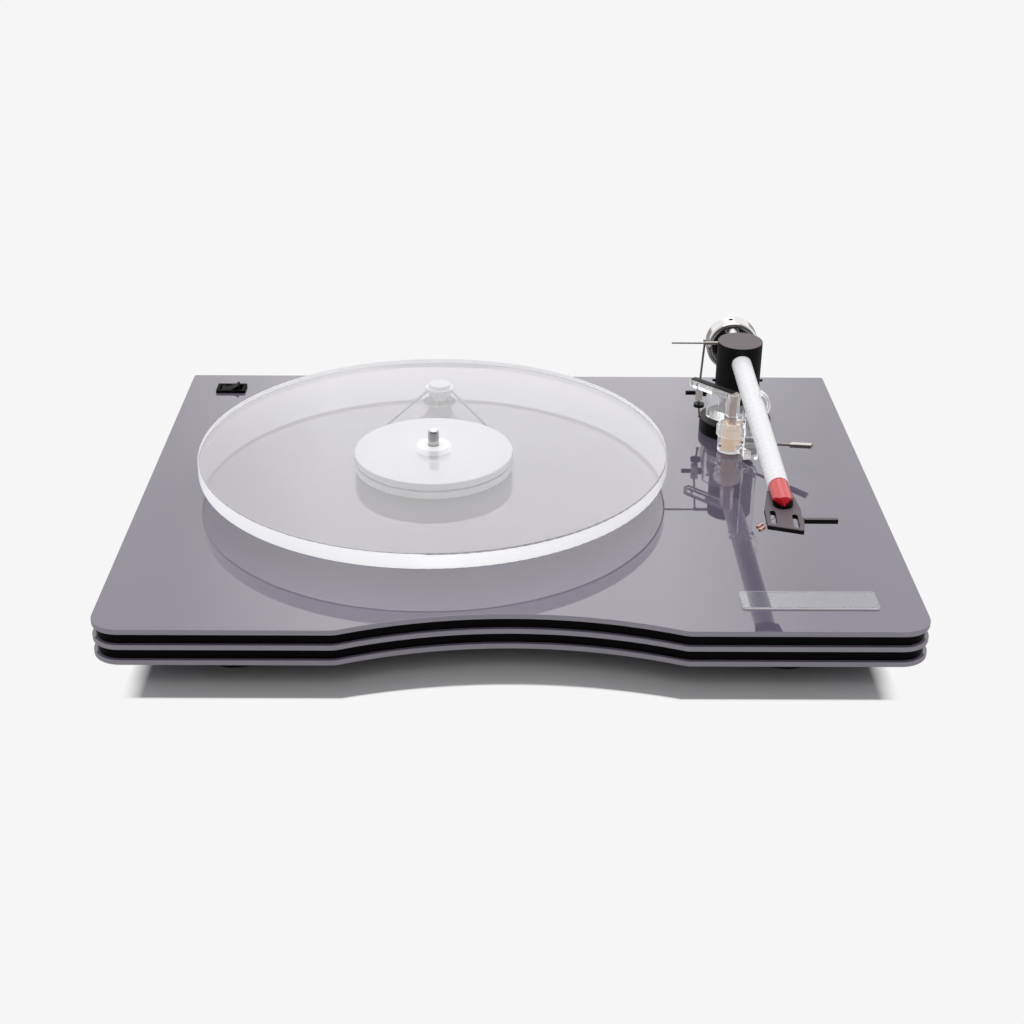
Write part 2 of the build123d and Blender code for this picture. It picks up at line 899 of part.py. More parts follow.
def power_inlet():
    face = block_back()
    body = block(inlet_block_length, block_depth, bottom_plate_z - block_drop, bottom_plate_z,
                 inlet_block_x, block_y)
    body = fillet(body.edges().filter_by(Axis.Z), bezel_round)
    bore = rod((inlet_block_x, face - inlet_depth, block_level()),
               (inlet_block_x, face + cut_overrun, block_level()), inlet_hole_radius)
    return body - bore


# Nuts that hold the bearing and the arm base from below
def underside_nut(key_radius, height, bore, x, y):
    nut = Pos(x, y, bottom_plate_z) * extrude(RegularPolygon(key_radius, 6), -height)
    return nut - post(bore + seat_gap, 0, deck, x, y)


def underside_nuts():
    return [
        underside_nut(bearing_nut_radius, bearing_nut_height, housing_radius, spindle_x, spindle_y),
        underside_nut(stem_nut_radius, stem_nut_height, stem_radius, arm_x, arm_y),
    ]


# Arm base
def arm_base():
    drum = post(drum_radius, deck, deck + drum_height)
    drum = fillet(rim_edges(drum, deck + drum_height, deck + drum_height), drum_edge_round)
    drum -= hole(stem_radius + seat_gap, deck, deck + drum_height, 0, 0)
    return Pos(arm_x, arm_y, 0) * drum


def arm_pillar():
    body = post(stem_radius, deck - stem_drop, deck + drum_height)
    body += post(pillar_radius, deck + drum_height, deck + pillar_top)
    body += post(pillar_neck_radius, deck + pillar_top, deck + pillar_neck_top)
    body -= post(spike_radius + running_gap, deck + pillar_neck_top - spike_seat_depth,
                 deck + pillar_neck_top + cut_overrun)
    return Pos(arm_x, arm_y, 0) * body


def pivot_spike():
    tip = deck + pivot_height - seat_gap
    cone = Cone(spike_radius, spike_tip_radius, spike_cone_height, align=upright)
    pin = post(spike_radius, deck + pillar_neck_top - spike_seat_depth, tip - spike_cone_height)
    return Pos(arm_x, arm_y, 0) * (pin + Pos(0, 0, tip - spike_cone_height) * cone)


# Arm, each piece in the arm's own level frame before it is tilted to its rest
def pivot_jewel():
    body = post(jewel_radius, -jewel_dimple_depth, jewel_height - jewel_dimple_depth)
    dimple = Cone(jewel_dimple_radius * 2, spike_tip_radius + seat_gap * 2, jewel_dimple_depth,
                  align=upright)
    return on_arm(body - Pos(0, 0, -jewel_dimple_depth) * dimple)


def bearing_cup():
    body = post(cup_radius, cup_bottom, cup_top)
    body = fillet(rim_edges(body, cup_bottom, cup_top), cup_edge_round)
    inner = cup_radius - cup_wall
    body -= post(inner, cup_bottom - cut_overrun, cup_top - cup_roof)
    body = Rot(0, 0, cup_seam_turn) * body
    body -= along_arm(tube_root_radius + seat_gap, 0, cup_radius + cut_overrun)
    body -= along_arm(stub_radius + seat_gap, 0, -cup_radius - cut_overrun)
    body -= rod((-inner, 0, side_wire_height), (-cup_radius - cut_overrun, 0, side_wire_height),
                side_collar_radius + seat_gap)
    for side in (-1, 1):
        body -= rod((side * inner, 0, balance_screw_height),
                    (side * (cup_radius + cut_overrun), 0, balance_screw_height),
                    balance_screw_radius + seat_gap)
    return on_arm(body)


def jewel_holder():
    low = jewel_height - jewel_dimple_depth + clear_gap
    return on_arm(post(jewel_screw_radius, low, cup_top - cup_roof))


def balance_screws():
    inner = cup_radius - cup_wall
    return [
        on_arm(rod((side * inner, 0, balance_screw_height),
                   (side * (cup_radius + balance_screw_reach), 0, balance_screw_height),
                   balance_screw_radius))
        for side in (-1, 1)
    ]


def arm_tube():
    start = cup_radius - cup_wall + seat_gap
    outer = tapered_along_arm(tube_root_radius, tube_tip_radius, start, tube_end)
    inner = tapered_along_arm(tube_root_radius - tube_wall, tube_tip_radius - tube_wall, start,
                              tube_end)
    return on_arm(outer - inner)


def tube_radius_at(reach):
    start = cup_radius - cup_wall
    share = (reach - start) / (tube_end - start)
    return tube_root_radius + (tube_tip_radius - tube_root_radius) * share


def nose_tip():
    return tube_end + cap_length


def arm_cap():
    size = cap_length * 2
    body = along_arm(cap_radius, tube_end + seat_gap, nose_tip())
    body -= block(size, size * 2, -size, cap_split_height, 0, -tube_end)
    slope = math.degrees(math.atan2(cap_ridge_run * math.sin(math.radians(cap_nose_half_angle)),
                                    cap_radius))
    for side in (-1, 1):
        turn = side * (90 - cap_nose_half_angle)
        facet = Pos(0, -nose_tip(), cap_split_height) * Rot(0, 0, turn) * Rot(slope, 0, 0)
        body -= facet * Box(size, size, size, align=(Align.CENTER, Align.MAX, Align.CENTER))
    return on_arm(body)


# The lower half of the tip: a spigot in the tube, and a rounded body over the headshell
def cap_nose():
    size = cap_length * 2
    top = cap_split_height - seat_gap
    reach = nose_tip() - nose_foot_radius
    plan = post(nose_foot_radius, -size, size, 0, -reach)
    plan += block(nose_foot_radius * 2, reach, -size, size, 0, -reach / 2)
    body = along_arm(nose_foot_radius, tube_end + seat_gap, nose_tip()) & plan
    body -= block(size, size * 2, top, size, 0, -tube_end)
    plate_room = shell_top - shell_thickness - seat_gap
    plate_middle = -(tube_end + shell_back + size / 2 - seat_gap)
    body -= block(size, size, plate_room, shell_top + seat_gap, 0, plate_middle)
    body -= block(size, size, -size, plate_room + seat_gap, 0, -(lead_start + size / 2 - seat_gap))
    spigot_radius = tube_tip_radius - tube_wall - seat_gap
    spigot = along_arm(spigot_radius, tube_end - cap_seat, tube_end + seat_gap)
    bore = along_arm(lead_bore_radius, tube_end - cap_seat - cut_overrun, tube_end + seat_gap * 2)
    return on_arm(body + spigot - bore)


def headshell():
    points = [
        (shell_back_left, shell_back),
        (shell_waist_left, shell_waist),
        (shell_shoulder_left, shell_shoulder),
        (shell_front_left, shell_front_left_reach),
        (shell_front_right, shell_front_right_reach),
        (shell_tab_right, shell_tab),
        (shell_neck_right, shell_neck),
        (shell_shoulder_right, shell_shoulder),
        (shell_waist_right, shell_waist),
        (shell_back_right, shell_back),
    ]
    outline = [(x, -(tube_end + reach)) for x, reach in points]
    face = make_face(Polyline(*outline, close=True))
    plate = Pos(0, 0, shell_top - shell_thickness) * extrude(face, shell_thickness)
    plate = fillet(plate.edges().filter_by(Axis.Z), shell_edge_round * 2)
    plate = chamfer(plate.faces().sort_by(Axis.Z)[-1].edges(), shell_edge_round)
    slot = extrude(SlotOverall(slot_length, slot_width), shell_thickness + cut_overrun * 2)
    for side in (-1, 1):
        place = Pos(slot_middle_x + side * slot_spacing / 2,
                    -(tube_end + slot_middle_reach) - side * slot_stagger / 2,
                    shell_top - shell_thickness - cut_overrun)
        plate -= place * Rot(0, 0, 90 - slot_angle) * slot
    return on_arm(plate)


def finger_lift():
    y = -(tube_end + finger_reach)
    lift = bar_between((shell_tab_right + seat_gap, y), (finger_tip, y), finger_width,
                       shell_top - finger_height, shell_top)
    return on_arm(fillet(lift.edges().filter_by(Axis.Z), finger_width / 8))


# Cartridge leads: forward out of the nose under the headshell, then off to the left
lead_bends = [
    (lead_1_turn, lead_1_reach),
    (lead_2_turn, lead_2_reach),
    (lead_3_turn, lead_3_reach),
    (lead_4_turn, lead_4_reach),
]


def lead_route(index):
    x = lead_first_x + index * lead_pitch
    turn, reach = lead_bends[index]
    heading = math.radians(lead_heading)
    return [
        (x, -lead_start, lead_height),
        (x, -turn, lead_height),
        (x - reach * math.cos(heading), -turn - reach * math.sin(heading), lead_height),
    ]


def cartridge_leads():
    leads = []
    for index in range(len(lead_bends)):
        points = lead_route(index)
        path = FilletPolyline(*points, radius=lead_bend_radius)
        start = Plane(origin=points[0], z_dir=(0, -1, 0)) * Circle(lead_radius)
        leads.append(on_arm(sweep(start, path)))
    return leads


def lead_clips():
    clips = []
    for index in range(len(lead_bends)):
        corner, end = [Vector(*point) for point in lead_route(index)[1:]]
        away = (end - corner).normalized()
        tip = end + away * clip_length
        clip = rod(tuple(end), tuple(tip), clip_radius)
        clip -= rod(tuple(tip - away * clip_bore_depth), tuple(tip + away * cut_overrun),
                    clip_bore_radius)
        clips.append(on_arm(clip))
    return clips


# Counterweight, turned a little about its stub to level the arm
def on_stub(shape):
    return on_arm(Rot(0, -weight_turn, 0) * shape)


def rear_stub():
    start = cup_radius - cup_wall + seat_gap
    stub = along_arm(stub_radius, -start, -stub_end)
    rims = stub.edges().filter_by(GeomType.CIRCLE)
    ends = [edge for edge in rims if edge.center().Y > start + cut_overrun]
    return on_arm(fillet(ends, stub_round))


def counterweight():
    back = weight_front + weight_length
    body = along_arm(weight_radius, -weight_front, -back, z=-weight_drop)
    body = fillet(body.edges().filter_by(GeomType.CIRCLE), weight_edge_round)
    body -= along_arm(weight_recess_radius, -weight_front + cut_overrun,
                      -weight_front - weight_recess_depth, z=-weight_drop)
    body -= along_arm(stub_radius + seat_gap, -weight_front + cut_overrun, -back - cut_overrun)
    middle = weight_front + weight_length / 2
    body -= rod((0, middle, stub_radius), (0, middle, weight_radius * 2),
                weight_screw_radius + seat_gap)
    return on_stub(body)


def weight_insert():
    body = along_arm(weight_insert_radius, -weight_front - cut_overrun,
                     -weight_front - weight_recess_depth + seat_gap, z=-weight_drop)
    body -= along_arm(weight_insert_bore, -weight_front, -weight_front - weight_recess_depth * 2)
    return on_stub(body)


def weight_screw():
    middle = weight_front + weight_length / 2
    high = weight_radius - weight_drop - clear_gap * 2
    body = rod((0, middle, stub_radius + seat_gap), (0, middle, high), weight_screw_radius)
    key = Pos(0, middle, high) * extrude(RegularPolygon(weight_screw_radius / 2, 6), -hex_key_depth)
    return on_stub(body - key)


# Side wire
def side_wire():
    inner = cup_radius - cup_wall
    collar = rod((-inner, 0, side_wire_height), (-side_collar_reach, 0, side_wire_height),
                 side_collar_radius)
    wire = rod((-side_collar_reach, 0, side_wire_height), (-side_wire_reach, 0, side_wire_height),
               side_wire_radius)
    return on_arm(collar + wire)


# Bias lever and what carries it
def bias_point(x_shift, y_shift, height):
    return (bias_axle_x + x_shift, bias_axle_y + y_shift, deck + height)


def bias_block():
    body = Pos(*bias_point(0, 0, bias_axle_height)) * Box(
        bias_block_width, bias_block_depth, bias_block_height)
    body = fillet(body.edges().filter_by(Axis.Z), bias_block_width / 8)
    return body - rod(bias_point(-bias_block_width, 0, bias_axle_height),
                      bias_point(bias_block_width, 0, bias_axle_height),
                      bias_axle_radius + running_gap)


def bias_rods():
    high = bias_axle_height + bias_block_height / 2 + seat_gap
    low = bias_axle_height - bias_block_height / 2 - seat_gap
    top = bias_point(bias_rod_lean_x, bias_rod_lean_y, bias_rod_top)
    foot = bias_point(bias_foot_lean_x, 0, bias_foot_height)
    upper = rod(bias_point(0, 0, high), top, bias_rod_radius)
    upper -= Pos(*bias_point(0, 0, bias_axle_height)) * Box(
        bias_block_width * 2, bias_block_depth * 2, bias_block_height + seat_gap * 2)
    upper += Pos(*top) * Cylinder(bias_knob_radius, bias_knob_height, align=upright)
    lower = rod(bias_point(0, 0, low), foot, bias_rod_radius)
    lower += Pos(*foot) * Cylinder(bias_knob_radius, bias_knob_radius, align=hanging)
    return [upper, lower]


def bias_weight():
    share = (bias_axle_height - bias_block_height / 2 - bias_weight_height) / (
        bias_axle_height - bias_block_height / 2 - bias_foot_height)
    centre = bias_point(bias_foot_lean_x * share, 0, bias_weight_height)
    disc = Pos(*centre) * Cylinder(bias_weight_radius, bias_weight_thickness)
    low = bias_axle_height - bias_block_height / 2
    return disc - rod(bias_point(0, 0, low), bias_point(bias_foot_lean_x, 0, bias_foot_height),
                      bias_rod_radius + running_gap)


def bias_axle():
    left = -bias_block_width / 2 - clear_gap
    axle = rod(bias_point(left, 0, bias_axle_height),
               bias_point(web_boss_end(), 0, bias_axle_height), bias_axle_radius)
    screw = rod(bias_point(left - bias_screw_length, 0, bias_axle_height),
                bias_point(left, 0, bias_axle_height), bias_screw_radius)
    collar_start = bias_block_width / 2 + clear_gap
    collar = rod(bias_point(collar_start, 0, bias_axle_height),
                 bias_point(collar_start + bias_collar_length, 0, bias_axle_height),
                 bias_collar_radius)
    return axle + screw + collar


# Lift bracket: a ring on the pillar, an arm to the cylinder and a curved upright web
def web_outer():
    return web_inner_radius + web_thickness


def sector(inner, outer, start, end, bottom, top):
    section = Plane.XZ * Pos((inner + outer) / 2, 0) * Rectangle(outer - inner, top - bottom)
    body = Rot(0, 0, start) * revolve(section, Axis.Z, end - start)
    return Pos(0, 0, (bottom + top) / 2) * body


def lift_bracket():
    low = deck + bracket_bottom
    high = low + bracket_thickness
    body = post(bracket_ring_radius, low, high)
    body += bar_between((0, 0), (lift_from_arm_x, lift_from_arm_y), bracket_arm_width, low, high)
    body += post(bracket_eye_radius, low, high, lift_from_arm_x, lift_from_arm_y)
    middle = math.radians((web_start_angle + web_end_angle) / 2)
    reach = web_inner_radius + web_thickness / 2
    body += bar_between((0, 0), (reach * math.cos(middle), reach * math.sin(middle)),
                        bracket_arm_width, low, high)
    body += sector(web_inner_radius, web_outer(), web_start_angle, web_end_angle, low,
                   deck + web_top)
    body = Pos(arm_x, arm_y, 0) * body
    boss_start = bias_block_width / 2 + bias_collar_length + clear_gap * 2
    body += rod(bias_point(boss_start, 0, bias_axle_height),
                bias_point(web_boss_end(), 0, bias_axle_height), bias_collar_radius)
    body -= hole(pillar_radius + seat_gap, low, deck + web_top, arm_x, arm_y)
    body -= hole(cylinder_radius + seat_gap, low, high, lift_x, lift_y) + lever_slot()
    return body - rod(bias_point(0, 0, bias_axle_height),
                      bias_point(web_boss_end() + cut_overrun, 0, bias_axle_height),
                      bias_axle_radius + seat_gap)


def web_boss_end():
    reach = math.sqrt(web_inner_radius ** 2 - bias_from_arm_y ** 2)
    return -reach - bias_from_arm_x


# Lift cylinder, its sleeve and plunger. The lever turns on a pin off the cylinder's middle
def lever_run():
    return Vector(lever_end_from_lift_x, lever_end_from_lift_y)


def lever_turn():
    return math.degrees(math.atan2(lever_run().Y, lever_run().X))


def lever_length():
    return math.hypot(lever_run().length + lever_offset, lever_end_height - lever_axis_height)


def lever_rise():
    return math.degrees(math.asin((lever_end_height - lever_axis_height) / lever_length()))


def at_lever(shape):
    place = Pos(lift_x, lift_y, deck + lever_axis_height) * Rot(0, 0, lever_turn())
    return place * Pos(-lever_offset, 0, 0) * shape


def plunger_foot():
    rise = math.radians(lever_rise())
    return (lever_axis_height + (lever_offset + plunger_tip_radius) * math.tan(rise)
            + lever_rod_radius / math.cos(rise) + seat_gap)


def lift_cylinder():
    top = deck + cylinder_top
    body = post(cylinder_radius, deck + cylinder_bottom, top)
    body = fillet(rim_edges(body, top, top), cylinder_edge_round)
    body -= post(cylinder_bore, deck + cylinder_bottom + cylinder_floor, deck + sleeve_top)
    body -= hole(plunger_radius + slip_gap, deck + sleeve_top, top, 0, 0)
    return Pos(lift_x, lift_y, 0) * body - lever_slot() - lever_pin_hole()


def lever_slot():
    low = -lever_slot_width / 2
    slot = Box(cylinder_radius * 2, lever_slot_width, deck,
               align=(Align.MIN, Align.CENTER, Align.MIN))
    return at_lever(Pos(lever_offset, 0, low) * slot)


def lever_pin_hole():
    return at_lever(Rot(90, 0, 0) * Cylinder(lever_pin_radius + running_gap,
                                             lever_pin_length + seat_gap * 2))


def lift_sleeve():
    floor = deck + cylinder_bottom + cylinder_floor
    body = ring(cylinder_bore - seat_gap, plunger_radius + running_gap, floor + seat_gap,
                deck + sleeve_top - seat_gap)
    room = at_lever(Rot(90, 0, 0) * Cylinder(lever_hub_radius + clear_gap,
                                             lever_hub_length + clear_gap * 2))
    return Pos(lift_x, lift_y, 0) * body - lever_slot() - lever_pin_hole() - room


def lift_plunger():
    foot = deck + plunger_foot()
    tip = Cone(plunger_tip_radius, plunger_radius, plunger_tip_length, align=upright)
    shank = post(plunger_radius, foot + plunger_tip_length, deck + plunger_top)
    return Pos(lift_x, lift_y, 0) * (shank + Pos(0, 0, foot) * tip)


def bar_left():
    return Vector(arm_x + bar_from_arm_x, arm_y + bar_from_arm_y)


def lift_platform():
    left = bar_left()
    hub = Vector(lift_x, lift_y)
    right = hub + (hub - left).normalized() * bar_overhang
    top = deck + bar_top
    bar = bar_between(tuple(left), tuple(right), bar_width, top - bar_thickness, top)
    bar = fillet(bar.edges().filter_by(Axis.Z), bar_width / 3)
    bar = fillet(bar.faces().sort_by(Axis.Z)[-1].edges(), plate_edge_round)
    bar += post(skirt_radius, deck + skirt_bottom, top - bar_thickness, lift_x, lift_y)
    return bar - post(plunger_radius + seat_gap, 0, deck + plunger_top + seat_gap, lift_x, lift_y)


def lift_pad():
    left = bar_left()
    hub = Vector(lift_x, lift_y)
    start = left + (hub - left).normalized() * pad_inset
    low = deck + bar_top
    return bar_between(tuple(start), tuple(hub), pad_width, low, low + pad_thickness)


def lift_lever():
    hub = Rot(90, 0, 0) * Cylinder(lever_hub_radius, lever_hub_length)
    hub += Rot(90, 0, 0) * Cylinder(lever_pin_radius, lever_pin_length)
    reach = lever_length()
    arm = rod((0, 0, 0), (reach - handle_length / 2, 0, 0), lever_rod_radius)
    handle = Pos(reach - handle_length / 2, 0, 0) * Box(handle_length, handle_width,
                                                        handle_thickness)
    arm += fillet(handle.edges(), handle_round)
    return at_lever(hub + Rot(0, -lever_rise(), 0) * arm)


# Arm rest
def rest_clip_centre():
    return Vector(arm_x - rest_reach * math.tan(math.radians(rest_yaw)), arm_y - rest_reach,
                  deck + pivot_height - rest_reach * math.tan(math.radians(rest_droop)))


def rest_jaw_top():
    return -tube_radius_at(rest_reach) - rest_jaw_gap


def rest_clip():
    inner = rest_clip_radius - rest_clip_wall
    turn = -90
    sweep_angle = rest_clip_top_angle - turn
    section = Pos((inner + rest_clip_radius) / 2, 0) * Rectangle(rest_clip_wall, rest_thickness)
    hoop = Rot(0, 0, turn) * revolve(Plane.XZ * section, Axis.Z, sweep_angle)
    hoop = Rot(90, 0, 0) * hoop
    jaw = Pos(-rest_jaw_reach, 0, rest_jaw_top()) * Box(
        rest_jaw_reach + tube_root_radius, rest_thickness, rest_jaw_thickness,
        align=(Align.MIN, Align.CENTER, Align.MAX))
    return Pos(rest_clip_centre()) * (hoop + jaw)


def arm_rest():
    low = deck + rest_strap_bottom
    x = arm_x + rest_block_from_arm_x
    y = arm_y + rest_block_from_arm_y
    jaw = rest_clip_centre() + Vector(0, 0, rest_jaw_top() - rest_jaw_thickness / 2)
    body = rest_clip() + block(rest_post_width, rest_block_depth, low, deck + rest_block_top, x, y)
    body += block(rest_post_width, rest_thickness, low, deck + rest_post_top, x, y)
    foot = (x, y, deck + rest_post_top - rest_lean_thickness / 2)
    body += leaning_bar(foot, tuple(jaw), rest_post_width, rest_lean_thickness)
    body += bar_between((lift_x, lift_y), (x, y), rest_strap_width, low, deck + rest_strap_top)
    return body - hole(cylinder_radius + seat_gap, deck, deck + cylinder_top, lift_x, lift_y)


# Every node and the function that makes it
nodes = {
    "top_plate": top_plate,
    "upper_core": upper_core,
    "middle_plate": middle_plate,
    "lower_core": lower_core,
    "bottom_plate": bottom_plate,
    "plinth_screws": plinth_screws,
    "feet": feet,
    "foot_screws": foot_screws,
    "bearing_housing": bearing_housing,
    "underside_nuts": underside_nuts,
    "thrust_ball": thrust_ball,
    "spindle_shaft": spindle_shaft,
    "sub_platter": sub_platter,
    "platter": platter,
    "drive_belt": drive_belt,
    "motor_can": motor_can,
    "motor_plate": motor_plate,
    "motor_screws": motor_screws,
    "motor_stator": motor_stator,
    "motor_rotor": motor_rotor,
    "motor_shaft": motor_shaft,
    "motor_pulley": motor_pulley,
    "switch_housing": switch_housing,
    "switch_rocker": switch_rocker,
    "control_board": control_board,
    "name_plate": name_plate,
    "socket_block": socket_block,
    "rear_terminals": rear_terminals,
    "power_inlet": power_inlet,
    "arm_base": arm_base,
    "arm_pillar": arm_pillar,
    "pivot_spike": pivot_spike,
    "pivot_jewel": pivot_jewel,
    "jewel_holder": jewel_holder,
    "bearing_cup": bearing_cup,
    "balance_screws": balance_screws,
    "arm_tube": arm_tube,
    "arm_cap": arm_cap,
    "cap_nose": cap_nose,
    "headshell": headshell,
    "finger_lift": finger_lift,
    "cartridge_leads": cartridge_leads,
    "lead_clips": lead_clips,
    "rear_stub": rear_stub,
    "counterweight": counterweight,
    "weight_insert": weight_insert,
    "weight_screw": weight_screw,
    "side_wire": side_wire,
    "bias_block": bias_block,
    "bias_rods": bias_rods,
    "bias_weight": bias_weight,
    "bias_axle": bias_axle,
    "lift_bracket": lift_bracket,
    "lift_cylinder": lift_cylinder,
    "lift_sleeve": lift_sleeve,
    "lift_plunger": lift_plunger,
    "lift_platform": lift_platform,
    "lift_pad": lift_pad,
    "lift_lever": lift_lever,
    "arm_rest": arm_rest,
}

if __name__ == "__main__":
    os.makedirs("parts", exist_ok=True)
    for name, make in nodes.items():
        made = make()
        shape = Compound(made) if isinstance(made, list) else made
        export_step(shape, f"parts/{name}.step")
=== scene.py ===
import json
import math

import bpy
from mathutils import Matrix, Vector

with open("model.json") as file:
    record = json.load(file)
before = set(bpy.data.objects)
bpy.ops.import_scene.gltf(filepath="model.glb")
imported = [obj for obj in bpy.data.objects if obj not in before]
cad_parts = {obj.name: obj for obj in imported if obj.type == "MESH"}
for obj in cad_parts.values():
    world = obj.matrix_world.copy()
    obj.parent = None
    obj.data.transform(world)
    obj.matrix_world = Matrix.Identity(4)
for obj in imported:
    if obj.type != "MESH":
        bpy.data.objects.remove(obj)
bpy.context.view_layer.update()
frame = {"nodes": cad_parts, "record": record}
NODES = frame["nodes"]

# Camera at the photograph's angle, metres and degrees
camera_place = Vector((-0.00731, -0.97870, 0.50484))
camera_pitch = math.radians(26.642)
camera_roll = math.radians(0.4323)
camera_yaw = math.radians(-0.5084)
camera_lens = 59.18
camera_sensor = 36.0

# World: what lights the object, what the camera sees and what polished faces mirror.
# A mirrored ray is bright towards the back and the middle, and dim towards the front.
world_strength = 0.86
world_seen = 0.923
world_mirrored = 1.37
world_mirrored_front = 0.10
world_mirrored_middle = 1.27
world_mirrored_beside = 0.84
mirrored_front_from = -0.5
mirrored_back_from = 0.3
mirrored_middle_to = 0.10
mirrored_beside_from = 0.19

# Lamp over the deck
light_place = (0.0, 0.1, 1.7)
light_size = (1.6, 1.2)
light_power = 7.0

# Floor: pale, with a painted shadow under the plinth: a polished patch that mirrors the plinth's
# dark underside, whose outline, ending in the plinth's bow, draws where the shadow stops
floor_size = 24.0
floor_colour = (0.90, 0.895, 0.90, 1)
floor_ior = 1.4
floor_rough = 0.5
floor_mirrored = 0.20
floor_mirrored_share = 0.8
shadow_rough = 0.09
shadow_mirror = 0.68
shadow_half_width = 0.214
shadow_half_depth = 0.2020
shadow_bow_half_width = 0.093
shadow_bow_depth = 0.0145
shadow_fade = 0.002
shadow_fade_beside = 0.012

# Platter
platter_ior = 1.45
platter_rim_clear = 0.12
platter_face_clear = 0.92
platter_rim_colour = (0.93, 0.93, 0.94)
platter_face_colour = (0.985, 0.98, 0.99)
# painted light: the glow of the rim and the faint glow of the faces
platter_rim_painted_glow = (0.36, 0.36, 0.365)
platter_face_painted_glow = (0.008, 0.006, 0.008)
platter_grain = 700.0
platter_rough = (0.004, 0.014)

# Clear plastic
clear_ior = 1.49
clear_grain = 1200.0
clear_facing = 0.35

# Part of a noise's range that is spread over a material's range
noise_low = 0.3
noise_high = 0.7
bump_height = 0.00002

# Slopes of a face, 0 upright and 1 level, that count as a side and as a top
side_slope = 0.35
level_slope = 0.75

# A colour mix node has several sockets of one name, so they go by number
mix_share, mix_low, mix_high, mix_result = 0, 6, 7, 2


def place_camera():
    turn = Matrix.Rotation(camera_yaw, 3, "Z")
    ahead = turn @ Vector((0, math.cos(camera_pitch), -math.sin(camera_pitch)))
    right = turn @ Vector((1, 0, 0))
    up = right.cross(ahead)
    across = right * math.cos(camera_roll) + up * math.sin(camera_roll)
    above = up * math.cos(camera_roll) - right * math.sin(camera_roll)
    rows = Matrix((across, above, -ahead)).transposed()
    data = bpy.data.cameras.new("camera")
    data.sensor_width = camera_sensor
    data.lens = camera_lens
    data.clip_start = 0.01
    data.clip_end = 50
    camera = bpy.data.objects.new("camera", data)
    bpy.context.collection.objects.link(camera)
    camera.matrix_world = Matrix.Translation(camera_place) @ rows.to_4x4()
    bpy.context.scene.camera = camera


place_camera()
bpy.context.scene.view_settings.view_transform = "Standard"


# Node helpers
class Tree:
    def __init__(self, tree):
        self.tree = tree

    def add(self, kind, **values):
        node = self.tree.nodes.new(kind)
        for key, value in values.items():
            setattr(node, key, value)
        return node

    def link(self, source, target):
        self.tree.links.new(source, target)

    def feed(self, socket, value):
        if isinstance(value, bpy.types.NodeSocket):
            self.link(value, socket)
        else:
            socket.default_value = value

    def maths(self, operation, *terms):
        node = self.add("ShaderNodeMath", operation=operation)
        for socket, term in zip(node.inputs, terms):
            self.feed(socket, term)
        return node.outputs["Value"]

    def split(self, vector):
        node = self.add("ShaderNodeSeparateXYZ")
        self.link(vector, node.inputs["Vector"])
        return node.outputs

    def span(self, source, low, high, start=0.0, end=1.0):
        node = self.add("ShaderNodeMapRange")
        self.feed(node.inputs["From Min"], start)
        self.feed(node.inputs["From Max"], end)
        self.feed(node.inputs["To Min"], low)
        self.feed(node.inputs["To Max"], high)
        self.link(source, node.inputs["Value"])
        return node.outputs["Result"]


class Nodes(Tree):
    def __init__(self, name):
        self.material = bpy.data.materials.new(name)
        self.material.use_nodes = True
        super().__init__(self.material.node_tree)
        self.shader = self.tree.nodes["Principled BSDF"]
        self.output = self.tree.nodes["Material Output"]

    def noise(self, scale, detail, stretch=None):
        vector = self.add("ShaderNodeTexCoord").outputs["Object"]
        if stretch:
            mapping = self.add("ShaderNodeMapping")
            mapping.inputs["Scale"].default_value = stretch
            self.link(vector, mapping.inputs["Vector"])
            vector = mapping.outputs["Vector"]
        node = self.add("ShaderNodeTexNoise")
        node.inputs["Scale"].default_value = scale
        node.inputs["Detail"].default_value = detail
        self.link(vector, node.inputs["Vector"])
        return node.outputs["Fac"]

    def ramp(self, source, stops):
        node = self.add("ShaderNodeValToRGB")
        ramp = node.color_ramp
        while len(ramp.elements) < len(stops):
            ramp.elements.new(0.5)
        for element, (place, colour) in zip(ramp.elements, stops):
            element.position = place
            element.color = (*colour, 1)
        self.link(source, node.inputs["Fac"])
        return node.outputs["Color"]

    def bump(self, source, strength):
        node = self.add("ShaderNodeBump")
        node.inputs["Strength"].default_value = strength
        node.inputs["Distance"].default_value = bump_height
        self.link(source, node.inputs["Height"])
        self.link(node.outputs["Normal"], self.shader.inputs["Normal"])

    # 1 on faces that look up or down, 0 on faces that look sideways
    def level_share(self):
        normal = self.split(self.add("ShaderNodeNewGeometry").outputs["Normal"])
        return self.span(self.maths("ABSOLUTE", normal["Z"]), 0.0, 1.0, side_slope, level_slope)

    def blend(self, share, low, high):
        node = self.add("ShaderNodeMix", data_type="RGBA")
        self.link(share, node.inputs[mix_share])
        node.inputs[mix_low].default_value = (*low, 1)
        self.link(high, node.inputs[mix_high])
        return node.outputs[mix_result]

    # Roughness between two values, by a fine noise
    def roughen(self, fine, low, high):
        self.link(self.span(fine, low, high, noise_low, noise_high), self.shader.inputs["Roughness"])

    def set(self, **values):
        for key, value in values.items():
            self.shader.inputs[key.replace("_", " ")].default_value = value

    # Painted light: emission of this colour makes the surface glow, though it is no lamp
    def glow(self, colour):
        self.link(colour, self.shader.inputs["Emission Color"])
        self.set(Emission_Strength=1.0)


def shade(colour, factor):
    return tuple(min(1.0, c * factor) for c in colour)
